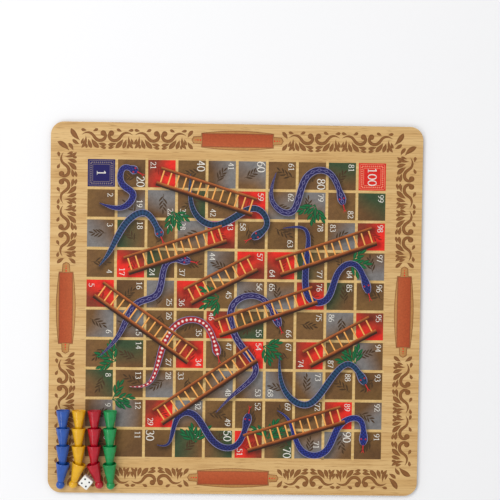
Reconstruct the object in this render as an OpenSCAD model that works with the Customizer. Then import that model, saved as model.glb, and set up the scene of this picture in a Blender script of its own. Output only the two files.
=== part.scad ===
// Snakes and ladders board with its pawns and its die, lying flat and seen as it is laid out for a game.
// The board is a thin wood fibre core with a printed film on each face. Sixteen hollow pawns lie on its
// near left corner in four nested stacks, and the die lies between the two middle stacks.

/* [Board] */
// Length of each side of the square board
board_side = 340; // [300:1:420]
// Radius of the four corners of the board
corner_radius = 12; // [5:0.5:25]
// Thickness of the wood fibre core
core_thickness = 3; // [2:0.1:8]
// Thickness of the printed film on each face
film_thickness = 0.15; // [0.1:0.05:0.4]
// Thickness of one layer of ink on the front film
ink_thickness = 0.1; // [0.05:0.05:0.2]

/* [Playing field] */
// Width of the border from the edge of the board to the nearest squares
border_width = 33.75; // [30:0.25:40]
// Width of the bare line between two squares
line_width = 2.5; // [1:0.1:4]
// Width across the two rails of a ladder, from centre to centre
ladder_gauge = 14; // [8:0.5:16]
// Width of one ladder rail
rail_width = 2.6; // [1.5:0.1:4]
// Width of one ladder rung
rung_width = 1.6; // [1:0.1:3]
// Distance from one rung to the next
rung_spacing = 7; // [5:0.5:12]
// Width of a snake at the thick part of its body
snake_width = 6.4; // [4:0.1:8]

/* [Border] */
// Distance from the edge of the board to the middle of the border ornament
border_inset = 15; // [13:0.5:18]
// Height of the scroll ornament
scroll_height = 18; // [12:0.5:20]
// Length of the panel at the middle of each side
panel_length = 84; // [60:1:100]
// Height of the panel at the middle of each side
panel_height = 18; // [12:0.5:20]
// Clear distance between a panel and the scroll beside it
panel_gap = 4; // [2:0.5:10]
// Clear distance between the end of a scroll and the corner of the border
corner_gap = 3; // [1:0.5:12]

/* [Pawns] */
// Height of a pawn from its foot to the top of its head
pawn_height = 24.5; // [22:0.5:28]
// Diameter of the foot of a pawn
foot_diameter = 12.6; // [12:0.1:14]
// Height of the upright rim round the foot
rim_height = 1; // [0.5:0.1:2]
// Diameter of the ball head
head_diameter = 7.8; // [7:0.1:8.4]
// Diameter of the neck under the head
neck_diameter = 5.8; // [5:0.1:6.4]
// Height of the neck above the foot
neck_height = 17.4; // [16:0.1:18]
// Thickness of the moulded wall, measured level
pawn_wall = 0.8; // [0.6:0.05:1.2]
// Clear distance between a nested head and the wall round it
nest_gap = 0.4; // [0.3:0.05:0.8]

/* [Die] */
// Length of each side of the die
die_side = 10; // [8:0.5:12]
// Radius of the rounded edges of the die
die_edge_radius = 0.8; // [0.4:0.1:1.5]
// Amount that the rounded corners take off the corners of the cube
die_corner_trim = 1.1; // [0.6:0.1:1.4]
// Distance from the middle of a face to a pip, along each side
pip_offset = 2.4; // [1.8:0.1:2.6]
// Diameter of a pip where it meets the face
pip_diameter = 1.9; // [1.2:0.1:2.2]
// Depth of a pip
pip_depth = 0.5; // [0.3:0.05:0.7]
// Distance that the paint in a pip lies under the face
paint_sink = 0.12; // [0.05:0.01:0.2]

/* [Layout of the pieces] */
// Distance from the left edge of the board to the first stack of pawns
left_margin = 8; // [5:0.5:12]
// Distance from the near edge of the board to the heads of the last pawns
near_margin = 4; // [2:0.5:10]
// Clear distance between two stacks, where they come closest
stack_gap = 0.5; // [0.3:0.1:2]
// Distance by which the last pawn turns about a point short of the head inside it
swing_lead = 1.4; // [1:0.1:1.8]
// Clear distance between the die and the pawns beside it
die_gap = 0.4; // [0.3:0.1:2]
// Height at which a lying piece clears the ink under it
rest_gap = 0.15; // [0.1:0.01:0.3]

/* [Hidden] */
$fn = 64;

// Length by which a cut runs past the face that it opens
overrun = 1;

// Levels of the board, from the underside up
core_base = film_thickness;
front_base = core_base + core_thickness;
ink_base = front_base + film_thickness;
snake_base = ink_base + ink_thickness;
ladder_base = snake_base + ink_thickness;
rest_level = ink_base + ink_thickness + rest_gap;

// The field inside the border: ten rows of ten squares, with a line between neighbours
row_count = 10;
square_pitch = (board_side - 2 * border_width + line_width) / row_count;
square_side = square_pitch - line_width;
field_half = row_count * square_pitch / 2;

// Plan of the field from the far side: brown, slate grey, green and red squares, and the two end squares.
// The count runs down the first column, up the second and so on, from the far left to the far right.
square_letters = [
    "ebrbssbbge",
    "bssgbrssbg",
    "sgbsrbbbsr",
    "brgbsrrgbs",
    "rbsrbssrgb",
    "ssbbrgbbsr",
    "bgbrbrbrbs",
    "gbsbssssbb",
    "ssrsbbbbrs",
    "bbbggrgssb"
];

// Foot and top of each ladder, in shares of one square from the far left corner of the field
ladder_shares = [
    [[0.45, 4.35], [3.60, 6.55]], [[1.35, 3.55], [4.60, 2.45]], [[2.40, 0.55], [5.60, 1.55]],
    [[3.40, 4.55], [5.60, 3.40]], [[4.40, 5.60], [7.65, 4.45]], [[2.45, 8.60], [5.60, 6.45]],
    [[5.40, 9.45], [8.65, 8.45]], [[6.40, 3.55], [9.60, 2.45]], [[7.40, 6.60], [9.60, 5.40]]
];

// Points that lead each snake from its head to its tail, in shares of one square
blue_snake_shares = [
    [[9.45, 4.40], [9.10, 3.20], [8.30, 3.55], [8.20, 4.80], [7.25, 4.75], [7.35, 3.20], [7.50, 2.10],
        [6.55, 2.25]],
    [[8.55, 1.45], [8.20, 0.15], [7.10, 0.35], [7.05, 2.05], [5.95, 1.45], [6.30, 0.40]],
    [[9.40, 7.45], [8.85, 6.45], [8.15, 7.35], [7.50, 8.45], [6.50, 7.70], [6.50, 6.50]],
    [[9.35, 9.50], [9.40, 8.40], [8.40, 8.70], [8.25, 9.90], [7.15, 9.90], [6.95, 8.60], [6.45, 8.35]],
    [[6.50, 5.55], [6.00, 4.35], [4.70, 4.60], [4.90, 6.05], [6.10, 7.00], [5.00, 7.75], [4.40, 8.45]],
    [[5.50, 2.60], [6.25, 2.20], [5.60, 1.25], [4.45, 2.45], [3.40, 1.85], [3.45, 0.50]],
    [[5.50, 8.45], [5.25, 9.75], [4.25, 9.60], [3.80, 8.35], [3.00, 8.45], [2.95, 9.65], [2.45, 9.55]],
    [[3.50, 3.40], [2.50, 3.20], [2.60, 4.75], [1.60, 4.60], [1.25, 5.90], [0.50, 6.60]],
    [[2.50, 2.60], [2.05, 1.55], [1.25, 2.10], [0.85, 3.10], [0.45, 3.60]],
    [[1.70, 0.45], [1.15, 0.15], [1.05, 0.95], [1.75, 1.10], [1.25, 1.80], [0.45, 1.50]]
];
red_snake_shares = [[[4.45, 6.55], [4.15, 5.35], [3.20, 5.25], [2.55, 6.05], [2.35, 7.65], [1.50, 7.60]]];

// Width of a snake as a share of its full width, at shares of its length from the head
snake_width_shares = [
    [0, 0.3], [0.012, 0.85], [0.035, 1.25], [0.06, 1.2], [0.1, 0.8], [0.2, 0.85],
    [0.4, 1], [0.65, 0.95], [0.85, 0.6], [1, 0.08]
];
curve_steps = 10;

// The border: sprays of leaves in a row, mirrored in turn so that they stand in pairs
spray_share = 1.35;
scroll_start = panel_length / 2 + panel_gap;
scroll_end = board_side / 2 - border_inset - scroll_height / 2 - corner_gap;
scroll_length = scroll_end - scroll_start;
spray_count = 2 * round(scroll_length / (2 * spray_share * scroll_height));
spray_length = scroll_length / spray_count;

// Start and end of each leaf, in shares of the spray's length and the scroll's height, and then how far its
// outer and its inner edge bend away from the line between them, in shares of the scroll's height
leaf_shares = [
    [[0.099, -0.244], [0.619, 0.017], -0.233, -0.094],
    [[0.495, -0.144], [0.924, -0.256], 0.328, 0.189],
    [[0.404, 0], [0.693, 0.467], 0.128, -0.061],
    [[0.289, 0.011], [0.412, 0.489], 0.094, -0.061],
    [[0.231, 0.256], [0.219, 0.489], 0.042, -0.042],
    [[0.19, -0.144], [0.029, 0.478], -0.15, -0.022],
    [[0.107, -0.033], [0.019, 0.289], -0.05, 0.033],
    [[0.223, -0.4], [0.016, -0.456], 0.05, -0.05],
    [[0.647, 0.222], [0.973, 0.311], 0.083, -0.044],
    [[0.718, 0.4], [0.965, 0.478], 0.05, -0.039],
    [[0.462, -0.367], [0.652, -0.489], 0.05, -0.05]
];

// Middle and radius of the round eye in the curl of a spray
eye_place_share = [0.849, -0.278];
eye_radius_share = 0.117;

// Outline of one quarter of a side panel, in shares of its half length and half height
panel_shares = [
    [1, 0], [0.96, 0.36], [0.79, 0.42], [0.79, 0.74],
    [0.6, 0.84], [0.4, 0.92], [0.2, 0.98], [0, 1]
];

// The pawn: a cone on a rim, with a ball head that sinks a little into the neck and sits on a pin
foot_radius = foot_diameter / 2;
head_radius = head_diameter / 2;
neck_radius = neck_diameter / 2;
head_level = pawn_height - head_radius;
cone_slope = (foot_radius - neck_radius) / (neck_height - rim_height);
cone_tilt = atan(cone_slope);
cone_foot_radius = foot_radius + cone_slope * rim_height;
hollow_foot_radius = cone_foot_radius - pawn_wall;
hollow_mouth_radius = hollow_foot_radius + cone_slope * overrun;
hollow_top = (neck_height - pawn_wall - hollow_foot_radius) / (1 - cone_slope);
hollow_top_radius = hollow_foot_radius - cone_slope * hollow_top;
pin_share = 0.6;
pin_radius = neck_radius * pin_share;

// How the last pawn of each stack is turned on the board, positive towards the right
swings = [-7, -16, 16, 3];
widest_swing = max(swings);

// Depth of the middle of a nested head inside the pawn that holds it
nested_radius = head_radius + nest_gap + swing_lead * sin(widest_swing);
nest_depth = (hollow_foot_radius - nested_radius / cos(cone_tilt)) / cone_slope;
swing_depth = nest_depth - swing_lead;

// Each pawn lies on its rim, and its head lies on the board or on the axis of the next pawn's hollow
last_lie = lie_angle(head_radius);
third_lie = lie_angle(axis_height(last_lie, nest_depth));
second_lie = lie_angle(axis_height(third_lie, nest_depth));
first_lie = lie_angle(axis_height(second_lie, nest_depth));
lies = [first_lie, second_lie, third_lie, last_lie];

// Feet of the four pawns of a stack, from the last one back to the first
last_foot = -board_side / 2 + near_margin + head_radius + head_level * cos(last_lie);
third_foot = last_foot + head_level * cos(third_lie) - nest_depth * cos(last_lie);
second_foot = third_foot + head_level * cos(second_lie) - nest_depth * cos(third_lie);
first_foot = second_foot + head_level * cos(first_lie) - nest_depth * cos(second_lie);
feet = [first_foot, second_foot, third_foot, last_foot];

// The stacks stand side by side, with room for the two middle ones to swing their last pawns
stack_pitch = 2 * (swing_depth * sin(widest_swing) + foot_radius * cos(widest_swing)) + stack_gap;
first_stack = -board_side / 2 + left_margin + foot_radius;
die_column = first_stack + 1.5 * stack_pitch;

// The die lies as far between the two swung pawns as its corners let it
die_turn = 51.5;
die_reach = die_side / sqrt(2) - (sqrt(2) - 1) * die_edge_radius;
die_across = stack_pitch / 2 - swing_depth * cos(last_lie) * sin(widest_swing);
swung_foot = last_foot - swing_depth * cos(last_lie) * (1 - cos(widest_swing));
wedge_length = norm([cos(last_lie), cone_slope]);
wedge_part = die_across * (cos(last_lie) * cos(widest_swing) - cone_slope * sin(widest_swing));
wedge_rate = cos(last_lie) * sin(widest_swing) + cone_slope * cos(widest_swing);
wedge_reach = (die_reach + die_gap) * wedge_length + cos(last_lie) * cone_foot_radius;
die_row = swung_foot - (wedge_reach - wedge_part) / wedge_rate;

// Each pip is a shallow part of a ball, and its paint lies just inside it
bowl_radius = (pow(pip_diameter / 2, 2) + pow(pip_depth, 2)) / (2 * pip_depth);
paint_gap = 0.02;
pip_shares = [
    [[0, 0]],
    [[-1, -1], [1, 1]],
    [[-1, -1], [0, 0], [1, 1]],
    [[-1, -1], [-1, 1], [1, -1], [1, 1]],
    [[-1, -1], [-1, 1], [0, 0], [1, -1], [1, 1]],
    [[-1, -1], [-1, 0], [-1, 1], [1, -1], [1, 0], [1, 1]]
];
face_turns = [[0, 0, 0], [180, 0, 0], [90, 0, 0], [-90, 0, 0], [0, 90, 0], [0, -90, 0]];
face_numbers = [4, 3, 6, 1, 5, 2];

// Place on the field for shares of one square, counted right and towards the near side
function field_point(share) = [share[0] * square_pitch - field_half, field_half - share[1] * square_pitch];

// Smooth curve led by points: each span blends the four points about it, and the ends lie on the end points
function before(p, i) = i == 0 ? 2 * p[0] - p[1] : p[i - 1];
function after(p, i) = i == len(p) - 1 ? 2 * p[i] - p[i - 1] : p[i + 1];
function span_point(p, i, t) =
    let (a = before(p, i), b = p[i], c = p[i + 1], d = after(p, i + 1))
    let (b_part = 3 * pow(t, 3) - 6 * pow(t, 2) + 4, c_part = 3 * (t + pow(t, 2) - pow(t, 3)) + 1)
    (a * pow(1 - t, 3) + b * b_part + c * c_part + d * pow(t, 3)) / 6;
function curve(p) = [
    for (i = [0:len(p) - 2])
        for (s = [0:curve_steps - 1])
            span_point(p, i, s / curve_steps),
    p[len(p) - 1]
];

// Outline of a ribbon along a line of points, with a half width for each point
function heading(p, i) =
    let (way = p[min(i + 1, len(p) - 1)] - p[max(i - 1, 0)])
    way / norm(way);
function side_point(p, i, reach) = p[i] + reach * [-heading(p, i)[1], heading(p, i)[0]];
function ribbon(p, reaches) = concat(
    [for (i = [0:len(p) - 1]) side_point(p, i, reaches[i])],
    [for (i = [len(p) - 1:-1:0]) side_point(p, i, -reaches[i])]
);

// Angle at which a pawn lies when its head's middle is at the given height
function lie_angle(height) =
    let (rim_to_head = head_level - rim_height)
    acos(height / norm([foot_radius, rim_to_head])) - atan2(rim_to_head, foot_radius);

// Height of a lying pawn's foot above the surface, and of its axis at a depth inside it
function foot_height(lie) = foot_radius * cos(lie) + rim_height * sin(lie);
function axis_height(lie, depth) = foot_height(lie) - depth * sin(lie);

// Flat square with rounded corners, as wide as the board or the die
module rounded_square(side, radius) {
    straight = side - 2 * radius;
    square([side, straight], center = true);
    square([straight, side], center = true);
    for (x = [-1, 1], y = [-1, 1])
        translate([x * straight / 2, y * straight / 2])
            circle(radius);
}

// One sheet of the board: the core or a film
module board_sheet(base, thickness) {
    translate([0, 0, base])
        linear_extrude(thickness)
            rounded_square(board_side, corner_radius);
}

// The wood fibre core
module board_core() {
    color("#8A6A45")
        board_sheet(core_base, core_thickness);
}

// The printed film on the playing side
module front_film() {
    color("#D1AB7D")
        board_sheet(front_base, film_thickness);
}

// The printed film on the underside
module back_film() {
    color("#CDA678")
        board_sheet(0, film_thickness);
}

// One layer of ink over the film
module ink(base) {
    translate([0, 0, base])
        linear_extrude(ink_thickness)
            children();
}

// The squares that have the given letter in the plan of the field
module squares(letter) {
    ink(ink_base)
        for (row = [0:row_count - 1], column = [0:row_count - 1])
            if (square_letters[row][column] == letter)
                translate(field_point([column + 1 / 2, row + 1 / 2]))
                    square(square_side, center = true);
}

module brown_squares() {
    color("#6B4A26")
        squares("b");
}

module grey_squares() {
    color("#6E6A68")
        squares("s");
}

module green_squares() {
    color("#3F4A2E")
        squares("g");
}

module red_squares() {
    color("#C3281F")
        squares("r");
}

// The start square and the finish square
module end_squares() {
    color("#2A2A5E")
        squares("e");
}

// One ladder: two rails and evenly spread rungs, from its foot to its top
module ladder(foot, top) {
    way = top - foot;
    rung_count = floor(norm(way) / rung_spacing);
    translate(foot)
        rotate(atan2(way[1], way[0])) {
            for (side = [-1, 1])
                translate([0, (side * ladder_gauge - rail_width) / 2])
                    square([norm(way), rail_width]);
            for (rung = [1:rung_count])
                translate([(rung - 1 / 2) * norm(way) / rung_count, 0])
                    square([rung_width, ladder_gauge], center = true);
        }
}

module ladders() {
    color("#9A5A2C")
        ink(ladder_base)
            for (ends = ladder_shares)
                ladder(field_point(ends[0]), field_point(ends[1]));
}

// Snakes, each a ribbon that swells at the head and thins towards the tail
module snakes(ways) {
    ink(snake_base)
        for (way = ways) {
            line = curve([for (share = way) field_point(share)]);
            last = len(line) - 1;
            reaches = [for (i = [0:last]) snake_width / 2 * lookup(i / last, snake_width_shares)];
            polygon(ribbon(line, reaches));
        }
}

module blue_snakes() {
    color("#1F3A78")
        snakes(blue_snake_shares);
}

module red_snake() {
    color("#A81E22")
        snakes(red_snake_shares);
}

// Disc whose edge runs through both ends of a line and bends away from it by the given amount
module bent_disc(length, bend) {
    radius = (pow(length / 2, 2) + pow(bend, 2)) / (2 * bend);
    translate([length / 2, bend - radius])
        circle(abs(radius));
}

// One pointed leaf along a line: its two edges bend the same way, or away from each other
module leaf(length, outer_bend, inner_bend) {
    if (outer_bend * inner_bend > 0)
        difference() {
            bent_disc(length, outer_bend);
            bent_disc(length, inner_bend);
        }
    else
        intersection() {
            bent_disc(length, outer_bend);
            bent_disc(length, inner_bend);
        }
}

// One spray of leaves, with a curl that ends in a round eye
function spray_point(share) = [share[0] * spray_length, share[1] * scroll_height];
module spray() {
    for (share = leaf_shares) {
        way = spray_point(share[1]) - spray_point(share[0]);
        translate(spray_point(share[0]))
            rotate(atan2(way[1], way[0]))
                leaf(norm(way), share[2] * scroll_height, share[3] * scroll_height);
    }
    translate(spray_point(eye_place_share))
        circle(eye_radius_share * scroll_height);
}

// One scroll: sprays side by side, every second one mirrored
module scroll() {
    for (i = [0:spray_count - 1])
        translate([(i + i % 2) * spray_length, 0])
            mirror([i % 2, 0])
                spray();
}

// Two scrolls on each side of the board, mirrored about the panel at the middle
module border_scrolls() {
    color("#8E6436")
        ink(ink_base)
            for (side = [0:3], turn = [0, 1])
                rotate(90 * side)
                    mirror([turn, 0])
                        translate([scroll_start, border_inset - board_side / 2])
                            scroll();
}

// Outline of a side panel, drawn round from its right end
function panel_point(share, x, y) = [x * share[0] * panel_length / 2, y * share[1] * panel_height / 2];
panel_last = len(panel_shares) - 1;
panel_outline = concat(
    [for (i = [0:panel_last]) panel_point(panel_shares[i], 1, 1)],
    [for (i = [panel_last - 1:-1:0]) panel_point(panel_shares[i], -1, 1)],
    [for (i = [1:panel_last]) panel_point(panel_shares[i], -1, -1)],
    [for (i = [panel_last - 1:-1:1]) panel_point(panel_shares[i], 1, -1)]
);

// The panel at the middle of each side
module side_panels() {
    color("#A84A2A")
        ink(ink_base)
            for (side = [0:3])
                rotate(90 * side)
                    translate([0, border_inset - board_side / 2])
                        polygon(panel_outline);
}

// A pawn standing on its foot: rim, cone and ball head on a pin, hollow up to the neck
module pawn() {
    difference() {
        union() {
            cylinder(h = rim_height, r = foot_radius);
            translate([0, 0, rim_height])
                cylinder(h = neck_height - rim_height, r1 = foot_radius, r2 = neck_radius);
            translate([0, 0, rim_height])
                cylinder(h = head_level - rim_height, r = pin_radius);
            translate([0, 0, head_level])
                sphere(head_radius);
        }
        translate([0, 0, -overrun])
            cylinder(h = hollow_top + overrun, r1 = hollow_mouth_radius, r2 = hollow_top_radius);
        translate([0, 0, hollow_top])
            sphere(hollow_top_radius);
    }
}

// A pawn of a stack, lying with its head towards the near edge; only the last one is swung aside
module lying_pawn(stack, place) {
    turn_row = feet[place] - swing_depth * cos(lies[place]);
    swing = place == len(feet) - 1 ? swings[stack] : 0;
    translate([first_stack + stack * stack_pitch, turn_row, rest_level])
        rotate(swing)
            translate([0, feet[place] - turn_row, foot_height(lies[place])])
                rotate([90 + lies[place], 0, 0])
                    pawn();
}

module pawn_blue(place) {
    color("#3558A8")
        lying_pawn(0, place);
}

module pawn_yellow(place) {
    color("#D9A827")
        lying_pawn(1, place);
}

module pawn_red(place) {
    color("#B01F30")
        lying_pawn(2, place);
}

module pawn_green(place) {
    color("#238C52")
        lying_pawn(3, place);
}

// Puts its children on the board where the die lies
module die_place() {
    translate([die_column, die_row, rest_level + die_side / 2])
        rotate(die_turn)
            children();
}

// Ball-shaped bowl of a pip in the top face, smaller all round by a gap
module pip_bowl(gap) {
    translate([0, 0, die_side / 2 + bowl_radius - pip_depth])
        sphere(bowl_radius - gap);
}

// Puts its children at every pip of the six faces
module each_pip() {
    for (face = [0:len(face_turns) - 1])
        rotate(face_turns[face])
            for (share = pip_shares[face_numbers[face] - 1])
                translate(pip_offset * share)
                    children();
}

// A cube with the four edges round one axis rounded
module die_prism() {
    linear_extrude(die_side, center = true)
        rounded_square(die_side, die_edge_radius);
}

// A cube with its twelve edges and eight corners rounded
module die_block() {
    intersection() {
        die_prism();
        rotate([90, 0, 0])
            die_prism();
        rotate([0, 90, 0])
            die_prism();
        sphere(norm([die_side, die_side, die_side]) / 2 - die_corner_trim);
    }
}

// The die with its sunk pips
module die() {
    color("#F2F1EC")
        die_place()
            difference() {
                die_block();
                each_pip()
                    pip_bowl(0);
            }
}

// The paint in the pips, level on top
module die_pips() {
    color("#141414")
        die_place()
            each_pip()
                intersection() {
                    pip_bowl(paint_gap);
                    translate([-pip_diameter, -pip_diameter, die_side / 2 - paint_sink - pip_depth])
                        cube([2 * pip_diameter, 2 * pip_diameter, pip_depth]);
                }
}

board_core();
front_film();
back_film();
brown_squares();
grey_squares();
green_squares();
red_squares();
end_squares();
ladders();
blue_snakes();
red_snake();
border_scrolls();
side_panels();
pawn_blue(0);  // pawn_blue_1
pawn_blue(1);  // pawn_blue_2
pawn_blue(2);  // pawn_blue_3
pawn_blue(3);  // pawn_blue_4
pawn_yellow(0);  // pawn_yellow_1
pawn_yellow(1);  // pawn_yellow_2
pawn_yellow(2);  // pawn_yellow_3
pawn_yellow(3);  // pawn_yellow_4
pawn_red(0);  // pawn_red_1
pawn_red(1);  // pawn_red_2
pawn_red(2);  // pawn_red_3
pawn_red(3);  // pawn_red_4
pawn_green(0);  // pawn_green_1
pawn_green(1);  // pawn_green_2
pawn_green(2);  // pawn_green_3
pawn_green(3);  // pawn_green_4
die();
die_pips();
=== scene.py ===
"""Snakes and ladders board: a thin printed wooden board with nested pawns and a die on its near left."""

import math

import bmesh
import bpy
import numpy as np
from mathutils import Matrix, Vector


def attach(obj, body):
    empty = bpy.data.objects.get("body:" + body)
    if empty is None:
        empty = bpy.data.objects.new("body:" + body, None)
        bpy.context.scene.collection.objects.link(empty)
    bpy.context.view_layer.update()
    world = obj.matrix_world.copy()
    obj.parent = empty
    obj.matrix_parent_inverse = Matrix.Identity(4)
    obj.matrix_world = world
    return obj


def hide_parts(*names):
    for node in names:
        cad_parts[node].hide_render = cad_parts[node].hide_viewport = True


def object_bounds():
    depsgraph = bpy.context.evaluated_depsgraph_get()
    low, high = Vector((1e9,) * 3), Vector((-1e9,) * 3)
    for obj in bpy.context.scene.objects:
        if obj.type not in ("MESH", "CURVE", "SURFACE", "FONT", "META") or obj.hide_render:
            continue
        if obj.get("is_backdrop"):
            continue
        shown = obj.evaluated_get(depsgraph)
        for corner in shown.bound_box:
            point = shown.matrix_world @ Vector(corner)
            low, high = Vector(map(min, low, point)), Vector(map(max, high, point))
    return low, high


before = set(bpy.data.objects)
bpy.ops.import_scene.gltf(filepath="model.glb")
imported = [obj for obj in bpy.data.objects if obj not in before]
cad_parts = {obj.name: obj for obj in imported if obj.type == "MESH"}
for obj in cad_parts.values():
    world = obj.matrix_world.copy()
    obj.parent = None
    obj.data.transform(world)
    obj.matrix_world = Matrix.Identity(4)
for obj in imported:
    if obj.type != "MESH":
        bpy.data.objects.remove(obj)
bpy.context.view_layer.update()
scene = bpy.context.scene
scene.view_settings.view_transform = "Standard"


# The studio: a pale matt floor under the board and an even white sky. A large soft lamp stands at the far
# left, and a strip of light at the near left draws a gleam along the pawns. The camera hangs straight above
# the board, a little behind its middle, as in the photograph.

def linear(code):
    """Linear red, green and blue of an sRGB hex colour."""
    srgb = np.array([int(code[i:i + 2], 16) for i in (1, 3, 5)]) / 255
    return np.where(srgb <= 0.04045, srgb / 12.92, ((srgb + 0.055) / 1.055) ** 2.4)


def add(tree, kind, inputs=None, **settings):
    """Adds a node, sets its settings and inputs, and links each input that is another node's output."""
    made = tree.nodes.new(kind)
    for name, value in settings.items():
        setattr(made, name, value)
    for key, value in (inputs or {}).items():
        if isinstance(value, bpy.types.NodeSocket):
            tree.links.new(value, made.inputs[key])
        elif isinstance(value, str):
            made.inputs[key].default_value = (*linear(value), 1)
        else:
            made.inputs[key].default_value = value
    return made


def start_finish(name):
    """A new material with its principled shader, and the tree that they are in."""
    finish = bpy.data.materials.new(name)
    finish.use_nodes = True
    tree = finish.node_tree
    return finish, tree, tree.nodes["Principled BSDF"]


def make_mesh(name, points, faces):
    """A mesh object at the origin from an array of points in millimetres and an array of faces."""
    mesh = bpy.data.meshes.new(name)
    mesh.from_pydata((np.asarray(points) / 1000).tolist(), [], np.asarray(faces).tolist())
    made = bpy.data.objects.new(name, mesh)
    scene.collection.objects.link(made)
    return made


floor_half, floor_level = 3000, -0.4
floor_corners = [(-floor_half, -floor_half, floor_level), (floor_half, -floor_half, floor_level),
                 (floor_half, floor_half, floor_level), (-floor_half, floor_half, floor_level)]
floor = make_mesh("floor", floor_corners, [(0, 1, 2, 3)])
paper, tree, shader = start_finish("matt_backdrop_paper")
shader.inputs["Base Color"].default_value = (0.94, 0.94, 0.95, 1)
shader.inputs["Roughness"].default_value = 0.9
floor.data.materials.append(paper)
floor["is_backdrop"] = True

# The sky shows brighter to the camera and in reflections than it lights the board.
sky_light, sky_seen = 0.62, 0.95
world = bpy.data.worlds.new("even_sky")
world.use_nodes = True
scene.world = world
sky = world.node_tree
rays = add(sky, "ShaderNodeLightPath").outputs
seen = add(sky, "ShaderNodeMath", {0: rays["Is Camera Ray"], 1: rays["Is Glossy Ray"]}, operation="MAXIMUM")
seen = add(sky, "ShaderNodeMath", {0: seen.outputs[0], 1: rays["Is Transmission Ray"]}, operation="MAXIMUM")
level = add(sky, "ShaderNodeMapRange", {"Value": seen.outputs[0], "To Min": sky_light, "To Max": sky_seen})
sky.links.new(level.outputs[0], sky.nodes["Background"].inputs["Strength"])
sky.nodes["Background"].inputs["Color"].default_value = (1, 1, 1, 1)

# Lamps: width and height in metres, power in watts, place in metres and turns in degrees.
for name, wide, high, watts, spot, tip, lean in (
        ("soft_box", 0.9, 0.9, 15, (-0.75, 0.85, 1.7), -24, -22),
        ("strip_light", 0.18, 0.7, 3.5, (-0.95, -0.6, 1.15), 24, -34)):
    lamp = bpy.data.lights.new(name, "AREA")
    lamp.shape = "RECTANGLE"
    lamp.size = wide
    lamp.size_y = high
    lamp.energy = watts
    stand = bpy.data.objects.new(name, lamp)
    stand.location = spot
    stand.rotation_euler = (math.radians(tip), math.radians(lean), 0)
    scene.collection.objects.link(stand)

view = bpy.data.cameras.new("view")
view.lens = 94.12
view.sensor_width = 36
view.dof.use_dof = False
camera = bpy.data.objects.new("camera", view)
camera.location = (-0.01189, 0.09575, 1.19947)
camera.rotation_euler = (math.radians(-1.955), math.radians(-1.152), math.radians(0.838))
scene.collection.objects.link(camera)
scene.camera = camera


# The core: wood fibres pressed with resin into a 3 mm sheet and cut to shape with rounded corners.
# Only its cut edge shows, brown and speckled, and scorched a little darker along the cut.

# Raw fibreboard: rough and matt, with fibres about 1 mm long and scorched clouds about 22 mm wide.
fibre_scale, cloud_scale = 900.0, 45.0
raw_fibreboard, tree, shader = start_finish("raw_fibreboard")
place = add(tree, "ShaderNodeTexCoord").outputs["Object"]
fibres = add(tree, "ShaderNodeTexNoise", {"Vector": place, "Scale": fibre_scale, "Detail": 4.0}).outputs[0]
clouds = add(tree, "ShaderNodeTexNoise", {"Vector": place, "Scale": cloud_scale, "Detail": 2.0}).outputs[0]
speckle = add(tree, "ShaderNodeMapRange", {"Value": fibres, "From Min": 0.35, "From Max": 0.68})
brown = add(tree, "ShaderNodeMix", {0: speckle.outputs[0], 6: "#5E4228", 7: "#96714A"}, data_type="RGBA")
scorch = add(tree, "ShaderNodeMapRange", {"Value": clouds, "From Min": 0.35, "From Max": 0.75,
                                          "To Max": 0.55})
edge = add(tree, "ShaderNodeMix", {0: scorch.outputs[0], 6: brown.outputs[2], 7: "#4A3220"},
           data_type="RGBA")
tree.links.new(edge.outputs[2], shader.inputs["Base Color"])
grain = add(tree, "ShaderNodeBump", {"Height": fibres, "Strength": 0.5, "Distance": 0.0003})
tree.links.new(grain.outputs[0], shader.inputs["Normal"])
shader.inputs["Roughness"].default_value = 0.85
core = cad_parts["board_core"]
core.data.materials.clear()
core.data.materials.append(raw_fibreboard)


# The face films: a thin sheet printed with a pale wood grain and bonded to each side of the core, with a
# satin lacquer. The grain runs across the board in streaks about 1 mm wide, drawn a little bolder to show.

def wood_film(name, light, middle, dark):
    """A satin film printed with grain: long thin noise in three sizes sets bands, streaks and pores."""
    finish, tree, shader = start_finish(name)
    place = add(tree, "ShaderNodeTexCoord").outputs["Object"]

    def streaks(along_mm, across_mm, detail):
        """Noise drawn out along the grain, with features of a length and a width in millimetres."""
        size = (1000 / along_mm, 1000 / across_mm, 1)
        scaled = add(tree, "ShaderNodeMapping", {"Vector": place, "Scale": size}).outputs[0]
        noise = add(tree, "ShaderNodeTexNoise", {"Vector": scaled, "Scale": 1.0, "Detail": detail})
        return noise.outputs["Fac"]

    fine = streaks(45, 1.5, 3.0)
    bands = streaks(210, 9, 2.0)
    pores = streaks(12, 0.9, 1.0)
    tint = add(tree, "ShaderNodeMapRange", {"Value": bands, "From Min": 0.35, "From Max": 0.65})
    wood = add(tree, "ShaderNodeMix", {0: tint.outputs[0], 6: light, 7: middle}, data_type="RGBA")
    line = add(tree, "ShaderNodeMapRange", {"Value": fine, "From Min": 0.48, "From Max": 0.72,
                                            "To Max": 0.65})
    wood = add(tree, "ShaderNodeMix", {0: line.outputs[0], 6: wood.outputs[2], 7: dark}, data_type="RGBA")
    pore = add(tree, "ShaderNodeMapRange", {"Value": pores, "From Min": 0.62, "From Max": 0.71,
                                            "To Max": 0.5})
    wood = add(tree, "ShaderNodeMix", {0: pore.outputs[0], 6: wood.outputs[2], 7: "#8F6433"},
               data_type="RGBA")
    tree.links.new(wood.outputs[2], shader.inputs["Base Color"])
    sheen = add(tree, "ShaderNodeMapRange", {"Value": fine, "To Min": 0.4, "To Max": 0.55})
    tree.links.new(sheen.outputs[0], shader.inputs["Roughness"])
    shader.inputs["Specular IOR Level"].default_value = 0.25
    return finish


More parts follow.
